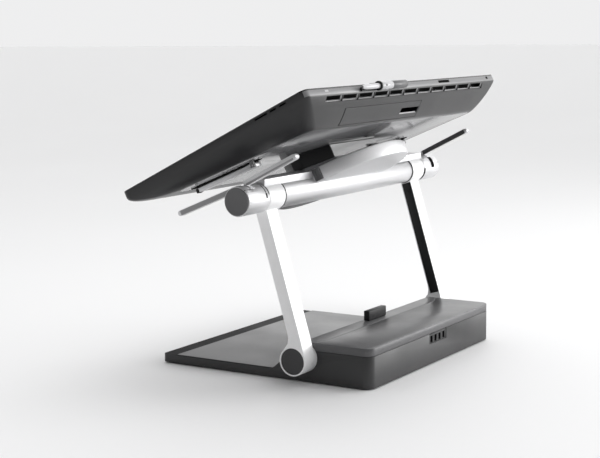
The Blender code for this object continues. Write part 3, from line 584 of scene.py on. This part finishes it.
def shell_ring(share):
    """Outline of the back shell where its wall has come in by this share of its slope."""
    half = GLASS_HALF + (BACK_HALF - GLASS_HALF) * share
    rear = STRIP_FACE + (BACK_REAR - STRIP_FACE) * share
    front = -STRIP_FACE + (BACK_FRONT + STRIP_FACE) * share
    ring = []
    for x, v in rounded_rectangle(-half, half, front, rear, 0.012 + 0.010 * share, 8):
        frontness = min(max((-0.10 - v) / 0.04, 0.0), 1.0)
        drop = swell(share, 1.15 + 0.80 * frontness)
        ring.append((x, v, STRIP_BOTTOM + (back_height(v) - STRIP_BOTTOM) * drop))
    return ring


def shell_solid():
    """The whole shell with its thickness, before anything is cut from it."""
    shares = (0.0, 0.02, 0.05, 0.10, 0.17, 0.26, 0.37, 0.50, 0.64, 0.80, 0.92, 1.0)

    def build(bm):
        rings = [[(x, v, GLASS_FACE - GLASS_THICKNESS - GAP) for x, v, _ in shell_ring(0.0)]]
        rings += [shell_ring(share) for share in shares]
        loops = [[bm.verts.new(point) for point in ring] for ring in rings]
        for upper, lower in zip(loops, loops[1:]):
            for i in range(len(upper)):
                j = (i + 1) % len(upper)
                bm.faces.new((upper[i], lower[i], lower[j], upper[j]))
        bm.faces.new(list(reversed(loops[-1])))

    mesh = mesh_from("shell", build)
    item = bpy.data.objects.new("shell_whole", mesh)
    bpy.context.scene.collection.objects.link(item)
    solid = item.modifiers.new("wall", "SOLIDIFY")
    solid.thickness = 0.0025
    solid.offset = -1.0
    solid.use_even_offset = True
    graph = bpy.context.evaluated_depsgraph_get()
    made = bpy.data.meshes.new_from_object(item.evaluated_get(graph))
    bpy.data.objects.remove(item)
    made.transform(TILT)
    return made


def panel_outline(margin):
    """Outline of the flat back, this far inside its edge."""
    half = BACK_HALF - margin
    return rounded_rectangle(-half, half, BACK_FRONT + margin, BACK_REAR - margin, 0.0160, 8)


def cut_shell(shell):
    """The shell with its vents, its door opening, the hole for the panel and those of the edges."""
    for i in range(VENT_COUNT):
        x = (i - 5) * VENT_PITCH
        low = (x - VENT_HALF, VENT_TOP, -WALL_REACH)
        high = (x + VENT_HALF, VENT_BOTTOM, WALL_REACH)
        shell = cut(shell, block("vent", low, high, WALL))
    shell = cut(shell, block("door_cut", (*DOOR_GAP_LOW, -WALL_REACH), (*DOOR_GAP_HIGH, WALL_REACH), WALL))
    for title, left, right, half in (("button_cut", -0.1455, -0.1035, 0.0024),
                                     ("hole", -0.3070, -0.2990, 0.0020)):
        slot = block(title, (left, 0.1900, STRIP_MIDDLE - half), (right, 0.2050, STRIP_MIDDLE + half), TILT)
        shell = cut(shell, slot)
    shell = cut(shell, extruded("panel_cut", panel_outline(0.0042), -0.01, 0.01, BACK))
    for start, end in SIDE_PORTS:
        shell = cut(shell, block("port", (0.3340, start, 0.0952), (0.3400, end, 0.0978), TILT))
    return shell


def make_shell():
    """The back shell, its upper edge strip in a lighter finish, and its door with a finger recess."""
    whole = shell_solid()
    door_tool = block("door_tool", (*DOOR_LOW, -WALL_REACH), (*DOOR_HIGH, WALL_REACH), WALL)
    door = cut(whole.copy(), door_tool, "INTERSECT")
    skin = piece("back_shell_skin", cut_shell(whole), "shell_plastic", "display", ("back_shell",),
                 width=0.0003, angle=50.0)
    skin.data.materials.append(EDGE_PLASTIC)
    flat = TILT.inverted()
    for face in skin.data.polygons:
        middle = flat @ face.center
        if middle.z > STRIP_BOTTOM + 0.0002 and middle.y > STRIP_FACE - 0.006:
            face.material_index = 1
    recess = block("recess", (-0.0450, 0.0366, -0.0004), (0.0170, 0.0482, 0.01), WALL)
    piece("service_door_skin", cut(door, recess), "shell_plastic", "display", ("service_door",),
          width=0.0003, angle=50.0)


def make_wall_details():
    """Painted highlights on the vents' lower edges, their partitions and the recess's edge, black painted
    shade behind the vents and in the edge strip's hole, and the status light.
    """
    # pale wedges along the vents' lower edges and partitions: real chamfers, their pale colour painted
    # highlight
    ends = (-5.5 * VENT_PITCH + 0.0010, 5.5 * VENT_PITCH - 0.0010)
    low_edge = ((0.0118, -0.0016), (0.0132, -0.0016), (0.0132, 0.0003))
    sill = hull("sill", [(x, y, z) for x in ends for y, z in low_edge], WALL)
    piece("vent_sill", sill, "back_plastic", "display", surface=PAINTED_LIGHT_PLASTIC)
    bars = None
    wedge = ((-0.0004, -0.0016), (0.0012, -0.0016), (-0.0004, 0.0002))
    for i in range(VENT_COUNT):
        x = (i - 5) * VENT_PITCH - VENT_HALF
        bar = hull("bar", [(x + dx + lean, y, z) for y, lean in ((0.0030, 0.0012), (0.0120, 0.0))
                           for dx, z in wedge], WALL)
        bars = bar if bars is None else cut(bars, bar, "UNION")
    piece("vent_bars", bars, "back_plastic", "display", surface=PAINTED_LIGHT_PLASTIC)
    # the recess's lower edge, pale as painted highlight
    sill = hull("door_sill", [(x, y, z) for x in (-0.0446, 0.0166)
                              for y, z in ((0.0466, 0.0002), (0.0482, 0.0002), (0.0482, 0.0017))], WALL)
    piece("door_sill", sill, "back_plastic", "display", surface=PAINTED_LIGHT_PLASTIC)
    # the status light, in the same pale finish as the painted highlights
    light = block("status_light", (0.2715, 0.1964, STRIP_MIDDLE - 0.0016),
                  (0.2815, 0.1970, STRIP_MIDDLE + 0.0016), TILT)
    piece("status_light", light, "pen_plastic", "display", width=0.0001, surface=PAINTED_LIGHT_PLASTIC)
    # a black plug in the edge strip's hole: painted shade inside it
    hole_shade_profile = [(0.0, 0.1950), (0.0028, 0.1950), (0.0028, 0.1965), (0.0025, 0.1968), (0.0, 0.1968)]
    seat = Matrix.Translation((-0.3030, 0.0, STRIP_MIDDLE)) @ Matrix.Rotation(-math.pi / 2, 4, "X")
    hole_shade = lathed("hole_shade", hole_shade_profile, TILT @ seat, along_x=False, steps=32)
    piece("hole_painted_shade", hole_shade, "black_plastic", "display", surface=PAINTED_SHADE_BLACK)
    # a black sheet behind the vents: painted shade of the shell's inside
    vent_shade = block("vent_painted_shade", (-0.2850, 0.0010, -0.0095), (0.2850, 0.0140, -0.0085), WALL)
    piece("vent_painted_shade", vent_shade, "black_plastic", "display", width=0.0002, surface=PAINTED_SHADE_BLACK)


def make_back_panel():
    rounded("back_panel", "back_plastic", 0.0003, angle=50.0)


def make_screen():
    """The front glass with its sunken active area, and the power key in the rear edge."""
    low = GLASS_FACE - GLASS_THICKNESS
    outline = rounded_rectangle(-GLASS_HALF, GLASS_HALF, -STRIP_FACE, STRIP_FACE, 0.012, 10)
    sheet = extruded("front_glass", outline, low, GLASS_FACE, TILT)
    active = block("active_cut", (-ACTIVE_HALF, -ACTIVE_DEPTH, GLASS_FACE - 0.00012),
                   (ACTIVE_HALF, ACTIVE_DEPTH, 0.2), TILT)
    piece("front_glass_skin", cut(sheet, active), "screen_glass", "display", ("front_glass",), width=0.0004)
    half, depth = ACTIVE_HALF - 0.0002, ACTIVE_DEPTH - 0.0002
    area = block("screen_area", (-half, -depth, GLASS_FACE - 0.0009),
                 (half, depth, GLASS_FACE - 0.00004), TILT)
    piece("screen_area", area, "screen_glass", "display", width=0.00004, surface=SCREEN_AREA)
    # the power key is black; its near-lightless black also paints the shade of the sunken slot around it
    key = block("key", (-0.1452, 0.1925, STRIP_MIDDLE - 0.0022),
                (-0.1038, 0.1962, STRIP_MIDDLE + 0.0022), TILT)
    piece("power_key_skin", key, "black_plastic", "power_key", ("power_button",), width=0.0004, segments=3,
          surface=PAINTED_SHADE_BLACK)


def make_legs():
    """The folding legs and the black sheets under them, painted shade along the legs."""
    for name, _ in SIDES:
        rounded("leg_" + name, "aluminium", 0.0005)
        rounded("leg_tip_" + name, "foot_rubber", 0.0003)
    for name, side in SIDES:
        low, high = sorted((0.2390 * side, 0.2590 * side))
        # a black sheet on the flat back under each leg: painted shade that gives the dark lines along the
        # leg
        outline = rounded_rectangle(low, high, -0.1240, 0.0200, 0.0050)
        pocket = extruded("pocket", outline, -0.0005, 0.0004, BACK)
        piece("leg_painted_shade_" + name, pocket, "black_plastic", "display", width=0.0002, surface=PAINTED_SHADE_BLACK)


# pen

def make_pen():
    """The pen, its nib towards +X, and the two-tone clip with the ring that holds it."""
    barrel = [(0.0, 0.0400), (0.0030, 0.0400), (0.0040, 0.0410), (PEN_RADIUS, 0.0424), (PEN_RADIUS, 0.1642),
              (0.0041, 0.1660), (0.0014, 0.1660), (0.0014, 0.1600), (0.0, 0.1600)]
    mesh = lathed("pen", barrel, PEN, steps=48)
    mesh = cut(mesh, block("switch_pocket", (0.1325, -0.0023, 0.0022), (0.1555, 0.0023, 0.0100), PEN))
    piece("pen_body_skin", mesh, "pen_plastic", "pen", ("pen_body",), width=0.0002, angle=40.0,
          surface=PEN_SILVER)
    cone = [(0.0014, 0.1663), (PEN_RADIUS, 0.1663), (0.0042, 0.1690), (0.0034, 0.1750), (0.0022, 0.1798),
            (0.0018, 0.1800), (0.0014, 0.1800)]
    piece("pen_cone_skin", lathed("cone", cone, PEN, steps=40, closed=True), "pen_plastic", "pen",
          ("pen_cone",), angle=40.0, surface=PEN_SILVER)
    nib = [(0.0, 0.1615), (0.0010, 0.1615), (0.0010, 0.1850), (0.0008, 0.1856), (0.0004, 0.1860),
           (0.0, 0.1860)]
    piece("pen_nib_skin", lathed("nib", nib, PEN, steps=24), "black_plastic", "nib", ("pen_nib",),
          angle=50.0)
    rounded("pen_switch", "black_plastic", 0.0002)
    front = block("front_half", (0.0870, -0.03, -0.03), (0.2, 0.03, 0.03), PEN)
    tail = block("tail_half", (0.0, -0.03, -0.03), (0.0867, 0.03, 0.03), PEN)
    sleeve = cleaned(frame["nodes"]["pen_clip"].data)
    piece("pen_clip_front", cut(sleeve.copy(), tail), "pen_plastic", "display", ("pen_clip",), width=0.0002)
    piece("pen_clip_tail", cut(sleeve, front), "pen_plastic", "display", ("pen_clip",), width=0.0002,
          surface=TAIL_PLASTIC)
    seat = Matrix.Translation((0.1215, 0.0012, 0.0057)) @ Matrix.Rotation(-0.4, 4, "X")
    profile = [(0.0, -0.0004), (0.0017, -0.0004), (0.0017, 0.0008), (0.0012, 0.0015), (0.0, 0.0017)]
    knob = lathed("knob", profile, PEN @ seat, along_x=False, steps=28)
    piece("clip_knob", knob, "black_plastic", "display")
    seat = Matrix.Translation((0.1120, 0.0060, -0.0022)) @ Matrix.Rotation(math.pi / 2, 4, "Z")
    profile = [(0.0, 0.0), (0.0016, 0.0), (0.0016, 0.0008), (0.0, 0.0011)]
    piece("clip_stud", lathed("stud", profile, PEN @ seat, steps=24), "black_plastic", "display")
    # the clip ring, black; its cradle under the pen is painted shadow of the pen
    rounded("clip_ring", "black_plastic", 0.0003)


# stage

def make_floor():
    """A pale floor wide enough for its edge to stay out of sight."""
    mesh = block("floor", (-FLOOR_HALF, -FLOOR_HALF, -0.050), (FLOOR_HALF, FLOOR_HALF, 0.0))
    floor = bpy.data.objects.new("floor", mesh)
    bpy.context.scene.collection.objects.link(floor)
    mesh.materials.append(finish("floor", (0.84, 0.84, 0.845), 0.60, grain=300.0, relief=0.01, cloud=2.0,
                                 drift=0.01))


def add_light(name, place, target, size, power):
    light = bpy.data.lights.new(name, "AREA")
    light.shape = "RECTANGLE"
    light.size, light.size_y = size
    light.energy = power
    lamp = bpy.data.objects.new(name, light)
    lamp.location = place
    lamp.rotation_euler = (Vector(target) - Vector(place)).to_track_quat("-Z", "Y").to_euler()
    bpy.context.scene.collection.objects.link(lamp)


def make_light():
    """A pale room that is dimmer on the +X side, with soft boxes behind and above."""
    world = bpy.data.worlds.new("studio")
    world.use_nodes = True
    nodes = world.node_tree.nodes
    link = world.node_tree.links.new
    plain = nodes["Background"]
    plain.inputs["Color"].default_value = (0.86, 0.86, 0.865, 1.0)
    room = nodes.new("ShaderNodeBackground")
    place = nodes.new("ShaderNodeTexCoord")
    parts = nodes.new("ShaderNodeSeparateXYZ")
    link(place.outputs["Generated"], parts.inputs["Vector"])
    span = nodes.new("ShaderNodeMapRange")
    span.interpolation_type = "SMOOTHSTEP"
    span.inputs["From Min"].default_value = -0.8
    span.inputs["From Max"].default_value = 0.9
    span.inputs["To Min"].default_value = 1.75
    span.inputs["To Max"].default_value = 0.31
    link(parts.outputs["X"], span.inputs["Value"])
    link(span.outputs["Result"], room.inputs["Strength"])
    path = nodes.new("ShaderNodeLightPath")
    choose = nodes.new("ShaderNodeMixShader")
    link(path.outputs["Is Camera Ray"], choose.inputs["Fac"])
    link(room.outputs["Background"], choose.inputs[1])
    link(plain.outputs["Background"], choose.inputs[2])
    link(choose.outputs["Shader"], nodes["World Output"].inputs["Surface"])
    bpy.context.scene.world = world
    middle = (0.0, 0.0, 0.25)
    add_light("key", (-2.0, 2.0, 0.62), middle, (1.6, 1.0), 36.0)
    add_light("top", (-0.5, 0.3, 2.4), middle, (1.6, 1.6), 14.0)
    bpy.context.scene.view_settings.view_transform = "Standard"


def make_camera():
    """The camera behind the display on its +X side, slightly rolled."""
    yaw, pitch, roll = 1.0104240, 0.1387661, -0.0113350
    ahead = Vector((-math.sin(yaw) * math.cos(pitch), -math.cos(yaw) * math.cos(pitch), -math.sin(pitch)))
    level = ahead.cross(Vector((0.0, 0.0, 1.0))).normalized()
    upright = level.cross(ahead)
    right = level * math.cos(roll) + upright * math.sin(roll)
    up = upright * math.cos(roll) - level * math.sin(roll)
    lens = bpy.data.cameras.new("camera")
    lens.lens = 85.88
    lens.sensor_width = 36.0
    camera = bpy.data.objects.new("camera", lens)
    turn = Matrix((right, up, -ahead)).transposed().to_4x4()
    camera.matrix_world = Matrix.Translation((2.1536, 1.2887, 0.5700)) @ turn
    bpy.context.scene.collection.objects.link(camera)
    bpy.context.scene.camera = camera


finish_cad_nodes()
make_base()
make_arms()
make_crossbar()
make_levers()
make_mount()
make_shell()
make_wall_details()
make_back_panel()
make_screen()
make_legs()
make_pen()
make_floor()
make_light()
make_camera()

bpy.context.view_layer.update()
